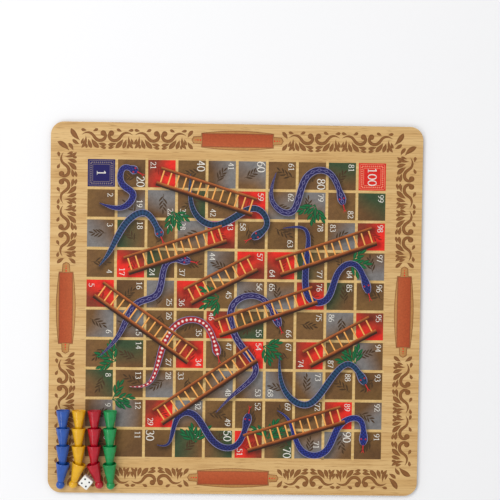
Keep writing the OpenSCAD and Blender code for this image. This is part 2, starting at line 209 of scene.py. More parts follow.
front_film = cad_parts["front_film"]
front_film.data.materials.clear()
front_film.data.materials.append(wood_film("front_wood_print", "#DBB67C", "#CEA56A", "#AB7D47"))
back_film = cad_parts["back_film"]
back_film.data.materials.clear()
back_film.data.materials.append(wood_film("back_wood_print", "#D9B379", "#CBA167", "#A87A45"))


# The squares: ten columns of ten, printed on the film with bare wood lines between them. Each shades from
# brown to grey, green or red, and is darker where a ladder or a snake throws its drawn shadow.

square_side, line_width, square_level = 25.0, 2.5, 3.35
square_pitch = square_side + line_width
field_half = 5 * square_pitch
# Ladders run from foot to top and snakes from head to tail, in squares from the far left of the field.
ladders = np.array([
    [[0.45, 4.35], [3.60, 6.55]], [[1.35, 3.55], [4.60, 2.45]], [[2.40, 0.55], [5.60, 1.55]],
    [[3.40, 4.55], [5.60, 3.40]], [[4.40, 5.60], [7.65, 4.45]], [[2.45, 8.60], [5.60, 6.45]],
    [[5.40, 9.45], [8.65, 8.45]], [[6.40, 3.55], [9.60, 2.45]], [[7.40, 6.60], [9.60, 5.40]],
])
snakes = [
    [[9.45, 4.40], [9.10, 3.20], [8.30, 3.55], [8.20, 4.80], [7.25, 4.75], [7.35, 3.20], [7.50, 2.10],
     [6.55, 2.25]],
    [[8.55, 1.45], [8.20, 0.15], [7.10, 0.35], [7.05, 2.05], [5.95, 1.45], [6.30, 0.40]],
    [[9.40, 7.45], [8.85, 6.45], [8.15, 7.35], [7.50, 8.45], [6.50, 7.70], [6.50, 6.50]],
    [[9.35, 9.50], [9.40, 8.40], [8.40, 8.70], [8.25, 9.90], [7.15, 9.90], [6.95, 8.60], [6.45, 8.35]],
    [[6.50, 5.55], [6.00, 4.35], [4.70, 4.60], [4.90, 6.05], [6.10, 7.00], [5.00, 7.75], [4.40, 8.45]],
    [[5.50, 2.60], [6.25, 2.20], [5.60, 1.25], [4.45, 2.45], [3.40, 1.85], [3.45, 0.50]],
    [[5.50, 8.45], [5.25, 9.75], [4.25, 9.60], [3.80, 8.35], [3.00, 8.45], [2.95, 9.65], [2.45, 9.55]],
    [[3.50, 3.40], [2.50, 3.20], [2.60, 4.75], [1.60, 4.60], [1.25, 5.90], [0.50, 6.60]],
    [[2.50, 2.60], [2.05, 1.55], [1.25, 2.10], [0.85, 3.10], [0.45, 3.60]],
    [[1.70, 0.45], [1.15, 0.15], [1.05, 0.95], [1.75, 1.10], [1.25, 1.80], [0.45, 1.50]],
    [[4.45, 6.55], [4.15, 5.35], [3.20, 5.25], [2.55, 6.05], [2.35, 7.65], [1.50, 7.60]],
]
# Rows of squares from the far side: brown, slate grey, green and red ones, and the two ends.
plan = ["ebrbssbbge", "bssgbrssbg", "sgbsrbbbsr", "brgbsrrgbs", "rbsrbssrgb",
        "ssbbrgbbsr", "bgbrbrbrbs", "gbsbssssbb", "ssrsbbbbrs", "bbbggrgssb"]


def on_field(shares):
    """Place in millimetres for shares of a square, counted right and nearer from the far left corner."""
    return np.asarray(shares, float) * (square_pitch, -square_pitch) + (-field_half, field_half)


def curve(points, steps):
    """Smooth line led by points: each span blends the four points about it. It ends on the end points."""
    points = np.asarray(points, float)
    padded = np.vstack([2 * points[:1] - points[1:2], points, 2 * points[-1:] - points[-2:-1]])
    t = (np.arange(steps) / steps)[:, None]
    a, b, c, d = (padded[i:len(points) - 1 + i, None] for i in range(4))
    spans = a * (1 - t)**3 + b * (3 * t**3 - 6 * t**2 + 4) + c * (3 * (t + t**2 - t**3) + 1) + d * t**3
    return np.vstack([spans.reshape(-1, 2) / 6, points[-1:]])


def even(path, count):
    """The same line with points spread evenly along its length."""
    path = np.asarray(path, float)
    along = np.r_[0, np.cumsum(np.linalg.norm(np.diff(path, axis=0), axis=1))]
    at = np.linspace(0, along[-1], count)
    return np.stack([np.interp(at, along, path[:, k]) for k in (0, 1)], 1)


def grid_faces(rows, columns, closed=False):
    """Four-sided faces between neighbours of a grid of points, and across its ends if it is closed."""
    index = np.arange(rows * columns).reshape(rows, columns)
    if closed:
        index = np.hstack([index, index[:, :1]])
    return np.stack([index[:-1, :-1], index[1:, :-1], index[1:, 1:], index[:-1, 1:]], -1).reshape(-1, 4)


def ribbon(path, half, across=2):
    """Grid of a band: each point of the path moved square to its way by shares of the half width."""
    path = np.asarray(path, float)
    way = np.gradient(path, axis=0)
    way /= np.linalg.norm(way, axis=1, keepdims=True)
    side = np.stack([-way[:, 1], way[:, 0]], 1)
    reach = np.broadcast_to(half, len(path))[:, None] * np.linspace(-1, 1, across)
    return path[:, None] + side[:, None] * reach[..., None]


def mottle(at, size, seed):
    """Soft blotches from about -1 to 1: 1.6 times the mean of six like sine waves at random angles."""
    chance = np.random.default_rng(seed)
    turn = chance.uniform(0, 2 * np.pi, 6)
    waves = np.stack([np.cos(turn), np.sin(turn)]) * chance.uniform(0.6, 1.4, 6) * 2 * np.pi / size
    return np.sin(at @ waves + chance.uniform(0, 2 * np.pi, 6)).mean(-1) * 1.6


def blend(low, high, share):
    """Colour between two colours by a share, for whole arrays."""
    return low + (high - low) * np.clip(share, 0, 1)[..., None]


# Satin printing ink: its colour is painted point by point. Printing dots 1.4 mm apart mottle it faintly,
# and an orange-peel lacquer with waves of 4 mm breaks up the reflections. Both are coarse enough to show.
dot_scale, peel_scale = 700.0, 260.0
satin_ink, tree, shader = start_finish("satin_printing_ink")
painted = add(tree, "ShaderNodeAttribute", attribute_name="ink").outputs["Color"]
place = add(tree, "ShaderNodeTexCoord").outputs["Object"]
dots = add(tree, "ShaderNodeTexNoise", {"Vector": place, "Scale": dot_scale, "Detail": 2.0}).outputs["Fac"]
tone = add(tree, "ShaderNodeMapRange", {"Value": dots, "From Min": 0.3, "From Max": 0.7,
                                        "To Min": 0.9, "To Max": 1.1}).outputs[0]
mixed = add(tree, "ShaderNodeVectorMath", {0: painted, "Scale": tone}, operation="SCALE")
tree.links.new(mixed.outputs[0], shader.inputs["Base Color"])
peel = add(tree, "ShaderNodeTexNoise", {"Vector": place, "Scale": peel_scale, "Detail": 1.0}).outputs["Fac"]
sheen = add(tree, "ShaderNodeMapRange", {"Value": peel, "To Min": 0.4, "To Max": 0.6})
tree.links.new(sheen.outputs[0], shader.inputs["Roughness"])
shader.inputs["Specular IOR Level"].default_value = 0.2
layer_rise, hair_rise = 0.01, 0.003


def print_piece(name, bands, level, slot, *stands_for, under=False):
    """Lays grids of ink flat on the board, or under it. A band is its grid of points, its colours, one for
    all or one for each point, and its layer in the print. Bands of one layer differ by a hair's height, so
    that they don't share a plane where they cross."""
    points, colours, faces, count = [], [], [], 0
    for order, (grid, colour, layer) in enumerate(bands):
        rows, columns = grid.shape[:2]
        hair = layer_rise * layer + hair_rise * (order % 3)
        rise = np.full((rows, columns, 1), level - hair if under else level + hair)
        points.append(np.concatenate([grid, rise], -1).reshape(-1, 3))
        colours.append(np.broadcast_to(colour, (rows, columns, 3)).reshape(-1, 3))
        faces.append(grid_faces(rows, columns)[:, ::-1 if under else 1] + count)
        count += rows * columns
    made = make_mesh(name, np.vstack(points), np.vstack(faces))
    paint = made.data.attributes.new("ink", "FLOAT_COLOR", "POINT")
    rgba = np.concatenate([np.vstack(colours), np.ones((count, 1))], 1)
    paint.data.foreach_set("color", rgba.astype(np.float32).ravel())
    made.data.materials.append(satin_ink)
    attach(made, "board")
    if stands_for:
        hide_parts(*stands_for)


numbers = np.arange(1, 101)
columns = (numbers - 1) // 10
rows = np.where(columns % 2 == 0, (numbers - 1) % 10, 9 - (numbers - 1) % 10)
middles = on_field(np.stack([columns, rows], 1) + 0.5)
snake_steps = 260
snake_paths = [even(curve(on_field(way), 24), snake_steps) for way in snakes]
ladder_lines = on_field(ladders)
gauge = 14.0


def rails(foot, top, count):
    """Middle lines of a ladder's two rails, and the way that leads from its near rail to its far one."""
    way = (top - foot) / np.linalg.norm(top - foot)
    aside = np.array([-way[1], way[0]]) * np.sign(way[0])
    run = foot + (top - foot) * np.linspace(0, 1, count)[:, None]
    return run - aside * gauge / 2, run + aside * gauge / 2, aside


snake_half = 3.2
swell_at = [0, 0.012, 0.035, 0.06, 0.1, 0.2, 0.4, 0.65, 0.85, 1]
swell = [0.3, 0.85, 1.25, 1.2, 0.8, 0.85, 1, 0.95, 0.6, 0.08]
snake_widths = snake_half * np.interp(np.linspace(0, 1, snake_steps), swell_at, swell)
shadow_step, rail_steps = 6, 60
snake_points = np.vstack([path[::shadow_step] for path in snake_paths])
snake_reach = np.tile(snake_widths[::shadow_step], len(snake_paths))
rail_points = np.vstack([line for ends in ladder_lines for line in rails(*ends, rail_steps)[:2]])
shadow_depth, shadow_fade = 0.55, 2.3
snake_throw, rail_throw = (1.3, -1.7), (1.3, -1.9)


def gap_to(points, others, reach=0.0):
    """Distance from each point of a grid to the nearest of others, less how far each of those reaches."""
    return (np.linalg.norm(points[..., None, :] - others, axis=-1) - reach).min(-1)


def shade(points):
    """Share of light left by the drawn shadows. Each lies to the right of its snake or rail and nearer the
    player, takes about half the light there and fades over its gap to the point like a bell curve."""
    snake_gap = gap_to(points, snake_points + snake_throw, 0.85 * snake_reach)
    rail_gap = gap_to(points, rail_points + rail_throw, 1.0)
    gap = np.maximum(np.minimum(snake_gap, rail_gap), 0)
    return 1 - shadow_depth * np.exp(-(gap / shadow_fade) ** 2)[..., None]


ink_points = 26
spread = np.linspace(-0.5, 0.5, ink_points) * square_side
local = np.stack(np.meshgrid(spread, spread, indexing="ij"), -1)
chance = np.random.default_rng(11)
# The paint that each kind of square shades into, how fast it does, and where it starts.
accents = {"b": ("#7A5A2E", 0.7, -0.15), "s": ("#787472", 1.35, -0.1), "g": ("#35472C", 1.3, -0.1),
           "r": ("#E22A1E", 1.5, -0.12)}
bands = {letter: [] for letter in "bsgre"}
# Blotches about 30 and 70 mm wide vary the shading and the brown, and ones of 6 and 14 mm the tone.
for number, column, row, middle in zip(numbers, columns, rows, middles):
    letter, grid = plan[row][column], middle + local
    turn = chance.uniform(0, 2 * np.pi)
    ramp = local @ [np.cos(turn), np.sin(turn)] / square_side + 0.5 + 0.12 * mottle(grid, 30, 3)
    soil = blend(linear("#5C3F22"), linear("#795733"), 0.5 + 0.5 * mottle(grid, 70, 5))
    if letter == "e":
        paint = linear("#1A1254" if number == 1 else "#D4261C")
    else:
        colour, strength, start = accents[letter]
        paint = blend(linear("#7E3420") if letter == "r" else soil, linear(colour), ramp * strength + start)
        paint = paint * (1 + 0.09 * mottle(grid, 6, 13) + 0.06 * mottle(grid, 14, 17))[..., None]
    bands[letter].append((grid, paint * shade(grid), 0))
for letter, colour, slot in (
        ("b", "brown", "brown_ink"), ("s", "grey", "grey_ink"), ("g", "green", "green_ink"),
        ("r", "red", "red_ink"), ("e", "end", "navy_ink")):
    print_piece(f"printed_{colour}_squares", bands[letter], square_level, slot, f"{colour}_squares")


# The lines between the squares: the film's own wood grain, left bare between the inks. Only the drawn
# shadows of snakes and ladders are printed over it, so each line is laid with the grain and those shadows.

line_points, line_level = 221, square_level - 0.02
bands = []
for line in range(1, 10):
    at = line * square_pitch - field_half
    path = np.stack([np.linspace(-field_half, field_half, line_points), np.full(line_points, at)], 1)
    for layer, way in enumerate((path, path[::-1, ::-1])):
        strip = ribbon(way, line_width / 2, 4)
        grain = 0.5 + 0.5 * mottle(strip * (0.15, 1.0), 3, 8)
        bands.append((strip, blend(linear("#DDBC80"), linear("#CBA565"), grain) * shade(strip), layer))
print_piece("shaded_grid_lines", bands, line_level, "front_film")


# Twigs: thin stems with slender leaves, printed in a dark tone of the ground over squares and lines alike.
# They lie at all angles, one in most squares, and the ladders and snakes are printed over them.

twig_level = 3.38
twig_leaf_length, twig_leaf_width, twig_spread, twig_leaves = 7.0, 1.5, 0.75, 6
bare_share = 0.2


def leaf(base, turn, length, width, bend=0.0):
    """Grid of a pointed leaf: its midrib bends evenly, and its half width rises and falls like a sine."""
    share = np.linspace(0, 1, 9)
    way = np.stack([np.cos(turn + bend * share), np.sin(turn + bend * share)], 1)
    path = base + np.vstack([np.zeros((1, 2)), np.cumsum((way[1:] + way[:-1]) / 2, 0)]) * length / 8
    return ribbon(path, width / 2 * np.maximum(np.sin(np.pi * share), 0.01) ** 0.8, 3)


def sprig(base, turn, length, bend, leaf_length, leaf_width, spread, leaves):
    """Grids of a stem that bends evenly and thins to its tip, with leaves at an angle to either side by
    turns, up to 30 % shorter towards the tip, and a leaf at the tip."""
    share = np.linspace(0, 1, leaves + 2)
    heading = turn + bend * share
    way = np.stack([np.cos(heading), np.sin(heading)], 1)
    stem = base + np.vstack([np.zeros((1, 2)), np.cumsum(way[:-1], 0)]) * length / (leaves + 1)
    grids = [ribbon(stem, leaf_width * np.linspace(0.14, 0.07, leaves + 2), 3)]
    for order in range(1, leaves + 1):
        side, size = (-1) ** order, leaf_length * (1 - 0.3 * share[order])
        grids.append(leaf(stem[order], heading[order] + side * spread, size, leaf_width, -side * 0.25))
    return grids + [leaf(stem[-1], heading[-1], leaf_length * 0.7, leaf_width)]


chance = np.random.default_rng(29)
bands = []
for number, column, row, middle in zip(numbers, columns, rows, middles):
    if number in (1, 100) or chance.uniform() < bare_share:
        continue
    tone = linear("#8A2014") if plan[row][column] == "r" else linear("#422E19")
    turn, bend, length = chance.uniform(0, 2 * np.pi), chance.uniform(-0.6, 0.6), chance.uniform(11, 15)
    start = middle + chance.uniform(-2.5, 2.5, 2) - 0.65 * length * np.array([np.cos(turn), np.sin(turn)])
    grids = sprig(start, turn, length, bend, twig_leaf_length, twig_leaf_width, twig_spread, twig_leaves)
    bands += [(grid, tone, 0) for grid in grids]
print_piece("printed_twigs", bands, twig_level, "brown_ink")


# Numbers: 1 to 100 printed in off-white ink, in strokes of a broad nib, thick down and thin across. They
# are turned to read from the far side to the near, and run down the first column and up the next. Tens are
# larger, and the two ends largest.

mark_level = 3.41
end_height, tens_height, plain_height = 8.2, 7.4, 5.2
digit_pitch, thin_stroke, thick_stroke = 0.68, 0.024, 0.036


def bow(x, y, wide, high, start, stop):
    """Part of an ellipse round a middle, from one angle to another in degrees."""
    turn = np.radians(np.linspace(start, stop, 28))
    return np.stack([x + wide * np.cos(turn), y + high * np.sin(turn)], 1)


six = [bow(0.31, 0.30, 0.25, 0.28, 0, 360),
       curve([(0.06, 0.32), (0.10, 0.62), (0.25, 0.86), (0.50, 0.97)], 8)]
strokes = {
    "0": [bow(0.31, 0.5, 0.26, 0.47, 0, 360)],
    "1": [[(0.31, 0.98), (0.31, 0.02)], [(0.10, 0.82), (0.31, 0.97)], [(0.10, 0.03), (0.52, 0.03)]],
    "2": [np.vstack([bow(0.29, 0.72, 0.23, 0.25, 165, -28), [(0.07, 0.05)]]), [(0.06, 0.05), (0.56, 0.05)],
          [(0.55, 0.03), (0.58, 0.2)]],
    "3": [bow(0.27, 0.74, 0.21, 0.23, 150, -85), bow(0.27, 0.27, 0.26, 0.25, 85, -150)],
    "4": [[(0.43, 0.97), (0.04, 0.30)], [(0.03, 0.29), (0.60, 0.29)], [(0.43, 0.98), (0.43, 0.02)]],
    "5": [[(0.14, 0.94), (0.54, 0.94)], [(0.14, 0.94), (0.11, 0.54)],
          bow(0.27, 0.31, 0.27, 0.29, 130, -150)],
    "6": six,
    "7": [[(0.05, 0.94), (0.58, 0.94)], [(0.57, 0.94), (0.24, 0.02)], [(0.06, 0.95), (0.05, 0.78)]],
    "8": [bow(0.30, 0.75, 0.20, 0.22, 0, 360), bow(0.30, 0.27, 0.25, 0.25, 0, 360)],
    "9": [(0.62, 1.0) - stroke for stroke in six],
}


def nib(path):
    """Grid of one stroke in shares of the height: half width grows with how steeply the stroke runs."""
    path = even(path, 28)
    way = np.gradient(path, axis=0)
    return ribbon(path, thin_stroke + thick_stroke * np.abs(way[:, 1]) / np.linalg.norm(way, axis=1))


digits = {digit: [nib(path) for path in paths] for digit, paths in strokes.items()}


def write(number, middle, height, colour):
    """Bands of a number about its middle, turned a quarter clockwise."""
    text, bands = str(number), []
    for place, digit in enumerate(text):
        for grid in digits[digit]:
            flat = (grid + (digit_pitch * (place - len(text) / 2) + 0.03, -0.5)) * height
            bands.append((middle + np.stack([flat[..., 1], -flat[..., 0]], -1), colour, 0))
    return bands


# Each number stands where its square has the most room beside the snakes and ladders. Room past 9 mm counts
# no more, and spots on the right are preferred.
corners = np.array([(8.2, 7.6), (8.2, -7.4), (7.6, 0.0), (-7.8, 7.4), (-7.8, -7.4)])
preference, roomy = (0.6, 0.5, 0.2, 0, 0), 9
ladder_middles = [foot + (top - foot) * np.linspace(0, 1, 40)[:, None] for foot, top in ladder_lines]
crowd = np.vstack([snake_points, rail_points, *ladder_middles])
bands = []
for number, middle in zip(numbers, middles):
    room = np.minimum(gap_to(middle + corners, crowd), roomy) + preference
    height = end_height if number in (1, 100) else tens_height if number % 10 == 0 else plain_height
    spot = middle if number in (1, 100) else middle + corners[room.argmax()]
    bands += write(number, spot, height, linear("#E4DFD4"))
print_piece("printed_numbers", bands, mark_level, "navy_ink")


# Frames of the start and finish squares: two thin lines with a row of lozenges between them, printed in a
# paler tone over the navy ink of the first square and the red ink of the last.

frame_lines = ((1.3, 0.2), (4.6, 0.22))
lozenge_row, lozenge_span, lozenge_count, lozenge_half = 9.55, 8.6, 10, 0.75
lozenge_rises = (0.05, 0.85, 0.05)


def turned(points, degrees):
    """Points turned about the origin."""
    c, s = math.cos(math.radians(degrees)), math.sin(math.radians(degrees))
    return points @ np.array([[c, s], [-s, c]])


bands = []
for number, colour in ((1, "#7E7072"), (100, "#EE8E6E")):
    for side in range(4):
        for inset, half in frame_lines:
            reach = square_side / 2 - inset
            rule = ribbon([(-reach - half, -reach), (reach + half, -reach)], half)
            bands.append((middles[number - 1] + turned(rule, 90 * side), linear(colour), 0))
        for at in np.linspace(-lozenge_span, lozenge_span, lozenge_count):
            row = [(at + step * lozenge_half, -lozenge_row) for step in (-1, 0, 1)]
            lozenge = ribbon(row, lozenge_rises)
            bands.append((middles[number - 1] + turned(lozenge, 90 * side), linear(colour), 0))
print_piece("printed_end_frames", bands, mark_level, "navy_ink")


# Green sprigs: ten bunches of three leafy stems, printed over the squares in fresh green ink. Each leaf has
# a paler midrib, and the ladders and snakes are printed over them.

sprig_level = 3.43
sprig_leaf_length, sprig_leaf_width, sprig_spread, sprig_leaves = 10.0, 3.0, 0.6, 4
sprig_spots = ((2.85, 1.75, -60), (1.05, 6.75, 150), (0.95, 8.05, 20), (3.75, 9.45, 100), (7.60, 1.45, 250),
               (6.15, 9.30, 80), (8.80, 3.40, 0), (9.05, 6.75, 120), (4.45, 4.55, 200), (5.95, 6.20, 330))
fresh = np.array([linear("#062D18"), linear("#1A6E3C"), linear("#083C20")])[None]
chance = np.random.default_rng(5)
bands = []
for *spot, heading in sprig_spots:
    for stem in (-1, 0, 1):
        turn = math.radians(heading) + stem * 0.8 + chance.uniform(-0.15, 0.15)
        length, bend = chance.uniform(12, 15), chance.uniform(-0.4, 0.4)
        grids = sprig(on_field(spot), turn, length, bend,
                      sprig_leaf_length, sprig_leaf_width, sprig_spread, sprig_leaves)
        bands += [(grid, fresh, stem + 1) for grid in grids]
print_piece("printed_green_sprigs", bands, sprig_level, "green_ink")


# Snakes: printed bands with a pale outline and dark flanks, each in its own deep blue or violet. By turns
# they have a net of scales, a pale chain or dark bars on the back. The red one has pale rhombs. All show a
# forked tongue and red eyes.

snake_level = 3.46
scale_pitch, chain_pitch, bar_pitch, rhomb_pitch = 3.4, 6.5, 3.0, 4.0
hides = ["#272D6E", "#2B2662", "#1E3D5C", "#252F7C", "#2E2462", "#1B354F", "#262A66", "#2F2664", "#223F60",
         "#282A74", "#A81E22"]
red_snake = len(hides) - 1
lavender, scarlet, pupil = linear("#9996C0"), linear("#D02A30"), linear("#100E1C")
tongue_half, tongue_start, tongue_end = 0.4, -0.5, 4.5
fork_start, fork_end, fork_spread, fork_tip = 4.2, 7, 1.3, 0.14
eye_step, eye_aside, eye_rings = 11, 2.0, ((0.75, scarlet), (0.36, pupil))
bands, heads = [], []
for order, (path, hide) in enumerate(zip(snake_paths, hides)):
    share = np.linspace(0, 1, len(path))
    length = np.linalg.norm(np.diff(path, axis=0), axis=1).sum()
    grid = ribbon(path, snake_widths, 19)
    along, across = np.broadcast_arrays((share * length)[:, None], np.linspace(-1, 1, 19)[None])
    body = linear(hide)
    paint = blend(body * 0.35, body, 1.15 - across**2)
    if order == red_snake:
        rhomb = np.abs((along / rhomb_pitch) % 1 - 0.5) * 2 + np.abs(across) * 1.4
        paint = blend(linear("#F0E6DC"), paint, rhomb * 4 - 2.0)
    elif order % 3 == 0:
        steps = along / scale_pitch
        net = np.abs(np.sin(np.pi * (steps + across)) * np.sin(np.pi * (steps - across)))
        paint = blend(paint * 0.4, paint * 1.25, net * 1.4 - 0.1)
    elif order % 3 == 1:
        chain = np.abs((along / chain_pitch) % 1 - 0.5) * 2 + np.abs(across) * 2.0
        paint = blend(lavender, paint * 0.75, np.abs(chain - 0.8) * 9 - 0.25)
    else:
        bars = np.sin(2 * np.pi * along / bar_pitch) * 0.5 + 0.5
        paint = blend(paint * 1.25, body * 0.12, bars * (0.3 + np.abs(across)))
    paint = blend(linear("#0C0C26"), paint, (0.9 - np.abs(across)) * 7)
    paint = blend(paint, lavender, (np.abs(across) - 0.87) * 30)
    bands.append((grid, paint, 0))
    ahead = (path[0] - path[3]) / np.linalg.norm(path[0] - path[3])
    aside = np.array([-ahead[1], ahead[0]])
    tongue = path[0] + ahead * np.linspace(tongue_start, tongue_end, 6)[:, None]
    heads.append((ribbon(tongue, tongue_half), scarlet, 0))
    around = np.cos(np.linspace(np.pi, 0, 11))
    for side in (-1, 1):
        fork = path[0] + ahead * np.linspace(fork_start, fork_end, 4)[:, None]
        fork = fork + aside * side * np.linspace(0, fork_spread, 4)[:, None]
        heads.append((ribbon(fork, np.linspace(tongue_half, fork_tip, 4)), scarlet, 0))
        for layer, (radius, colour) in enumerate(eye_rings):
            spot = path[eye_step] + aside * side * eye_aside + ahead * (around * radius)[:, None]
            half = radius * np.sqrt(np.maximum(1 - around**2, 0.002))
            heads.append((ribbon(spot, half), colour, 1 + layer))
print_piece("printed_blue_snakes", bands[:red_snake], snake_level, "blue_ink", "blue_snakes")
print_piece("printed_red_snake", bands[red_snake:], snake_level, "crimson_ink", "red_snake")
print_piece("printed_snake_faces", heads, snake_level + layer_rise, "crimson_ink")


# Ladders: drawn in two turned rails of red-brown wood lit from the far side, with pale orange rungs between
# them and a hard shadow under the near rail. They are printed last, over everything else on the field.

ladder_level = 3.50
rail_half, rung_half, rung_step = 1.35, 0.72, 7.0
dark_aside, dark_half = 1.4, 1.3
rung_light = np.array([0.0, 0.9, 1.0, 0.45])
rung_paint = blend(linear("#B4702F"), linear("#F6B260"), np.tile(rung_light, (6, 1)))
bands = []
for foot, top in ladder_lines:
    length = np.linalg.norm(top - foot)
    way = (top - foot) / length
    near, far, aside = rails(foot, top, 30)
    bands.append((ribbon(near - aside * dark_aside, dark_half), linear("#2E1A0E"), 0))
    rungs = int(length / rung_step)
    for middle in (np.arange(rungs) + 0.5) * length / rungs:
        rung = foot + way * middle + aside * np.linspace(-gauge / 2, gauge / 2, 6)[:, None]
        bands.append((ribbon(rung, rung_half, 4), rung_paint, 1))
    for run in (near, far):
        rail = ribbon(run, rail_half, 6)
        height = (rail - run[:, None]) @ aside
        streak = 0.12 * mottle(rail * 0.6, 9, 21)
        lit = blend(linear("#4A200D"), linear("#BE6A34"), height / rail_half * 0.55 + 0.42 + streak)
        bands.append((rail, lit, 2))
print_piece("printed_ladders", bands, ladder_level, "ladder_ink", "ladders")


# The border: sprays printed in brown ink round the board, four to each half of a side, in mirrored pairs.
# A spray is a scroll that curls round a ball, with drop-shaped leaves along it. A few more leaves end each
# run at the corner and at the panel.

board_half, border_middle = 170.0, 15.0
scroll_start, scroll_height, spray_length, spray_count = 46.0, 18.0, 24.25, 4
spray_size = (spray_length, scroll_height)
ink_gain, leaf_lead, leaf_tip = 0.42, 1.4, 0.02
# Start and end of each leaf in shares of the spray, and how far its two edges bend from the line between.
leaf_shares = [
    [[0.404, 0.0], [0.693, 0.467], 0.128, -0.061], [[0.289, 0.011], [0.412, 0.489], 0.094, -0.061],
    [[0.231, 0.256], [0.219, 0.489], 0.042, -0.042], [[0.19, -0.144], [0.029, 0.478], -0.15, -0.022],
    [[0.107, -0.033], [0.019, 0.289], -0.05, 0.033], [[0.223, -0.4], [0.016, -0.456], 0.05, -0.05],
    [[0.647, 0.222], [0.973, 0.311], 0.083, -0.044], [[0.718, 0.4], [0.965, 0.478], 0.05, -0.039],
    [[0.462, -0.367], [0.652, -0.489], 0.05, -0.05],
]
corner_shares = [[[0.02, 0.1], [0.36, -0.5], 0.16, -0.05], [[0.03, 0.3], [0.3, 0.05], 0.1, -0.03]]
panel_shares = [[[0.98, side * 0.1], [0.78, side * 0.46], side * 0.04, side * -0.1] for side in (-1, 1)]
scroll_way = [(0.05, -0.20), (0.16, -0.29), (0.30, -0.32), (0.44, -0.24), (0.52, -0.06), (0.62, 0.08),
              (0.76, 0.11), (0.89, 0.03), (0.945, -0.14), (0.92, -0.26), (0.87, -0.30)]
scroll_swell = ([0, 0.2, 0.45, 0.7, 0.9, 1], [0.12, 1.0, 1.45, 1.5, 1.15, 0.6])
ball_spot, ball_share = np.array([0.849, -0.278]), 0.117


def bent_edge(length, bend):
    """Points of the arc between the ends of a line along x that bends away from the line by an amount."""
    radius = (length**2 / 4 + bend**2) / (2 * bend)
    turn = np.linspace(-1, 1, 15) * 2 * math.atan(2 * bend / length)
    return np.stack([length / 2 + radius * np.sin(turn), bend - radius + radius * np.cos(turn)], 1)


def disc(middle, radius):
    """Grid of a round spot: a band along its diameter with the half width of a circle."""
    around = np.cos(np.linspace(np.pi, 0, 19))
    path = np.stack([around * radius, 0 * around], 1)
    return np.asarray(middle) + ribbon(path, radius * np.sqrt(np.maximum(1 - around**2, 0.003)), 3)


def border_leaf(start, end, *bends):
    """Grid of a leaf between two arcs from its start to its end, swollen a little by the wet ink. Its width
    at a share of its length is that of the arcs at a power of the share, so it is fullest past halfway."""
    start, end = np.array([start, end]) * spray_size
    length = np.linalg.norm(end - start)
    low, high = sorted(bend * scroll_height for bend in bends)
    low, high = (bent_edge(length, bend) for bend in (low - ink_gain, high + ink_gain))
    share = np.linspace(0, 1, len(low))
    half = np.maximum(np.interp(share**leaf_lead, share, (high - low)[:, 1] / 2), leaf_tip)
    return start + turned(ribbon((low + high) / 2, half, 3), math.degrees(math.atan2(*(end - start)[::-1])))


stem = curve(np.array(scroll_way) * spray_size, 4)
stem_half = np.interp(np.linspace(0, 1, len(stem)), *scroll_swell)
spray = [disc(ball_spot * spray_size, ball_share * scroll_height + ink_gain), ribbon(stem, stem_half, 3)]
spray += [border_leaf(*shares) for shares in leaf_shares]
corner_tip = [border_leaf(*shares) for shares in corner_shares]
panel_tip = [border_leaf(*shares) for shares in panel_shares]
umber = np.array([linear("#764B23"), linear("#8C5C31"), linear("#7C5028")])[None]
scroll_bands = []
for number, motif in enumerate((panel_tip, *[spray] * spray_count, corner_tip), -1):
    for layer, blade in enumerate(motif):
        if motif is spray and number % 2:
            blade = blade[:, ::-1] * (-1, 1) + (spray_length, 0)
        blade = blade + (scroll_start + number * spray_length, border_middle - board_half)
        for half in (blade, blade[:, ::-1] * (-1, 1)):
            scroll_bands += [(turned(half, 90 * side), umber, layer % 3) for side in range(4)]
print_piece("printed_scrolls", scroll_bands, square_level, "scroll_ink", "border_scrolls")


# Side panels: long labels with a narrow neck at each end, printed at the middle of each side and left bare.
# Each has a light brown ground with a dark rim, a red-brown bar along it and three red dots on each neck.

panel_half, panel_rise, panel_row = 42.0, 9.0, border_middle - board_half
# Shares of the half length, and of the half height there.
ground = ([0, 0.2, 0.4, 0.6, 0.79, 0.7901, 0.96, 1], [1, 0.98, 0.92, 0.84, 0.74, 0.42, 0.36, 0.02])
bar = ([0, 0.4, 0.775], [0.72, 0.71, 0.7])
panel_inks = ((ground, 0.0, "#83512A", "#8E5C32"), (ground, 0.55, "#AE7C45", "#B98850"),
              (bar, 0.0, "#8F4A2A", "#9C5632"), (bar, 0.9, "#A64824", "#B65831"))
neck_dots = ((33.8, 0.7), (36.2, 0.6), (38.3, 0.45))
panel_bands = []
for layer, ((tips, rises), inset, low, high) in enumerate(panel_inks):
    across = np.array([-share for share in tips[:0:-1]] + tips)
    path = np.stack([across * (panel_half - inset), 0 * across + panel_row], 1)
    label = ribbon(path, np.maximum(panel_rise * np.interp(np.abs(across), tips, rises) - inset, 0.05), 5)
    paint = blend(linear(low), linear(high), np.tile(np.linspace(0, 1, 5), (len(across), 1)))
    panel_bands += [(turned(label, 90 * side), paint, layer) for side in range(4)]
for at, radius in neck_dots:
    for spot in (disc((at, panel_row), radius), disc((-at, panel_row), radius)):
        panel_bands += [(turned(spot, 90 * side), linear("#E0301C"), 4) for side in range(4)]
print_piece("printed_panels", panel_bands, square_level, "panel_ink", "side_panels")


# The reverse: a cross-shaped race track for the same sixteen pawns, printed on the back film with a yard of
# four spots and a home row for each colour, inside the same border.

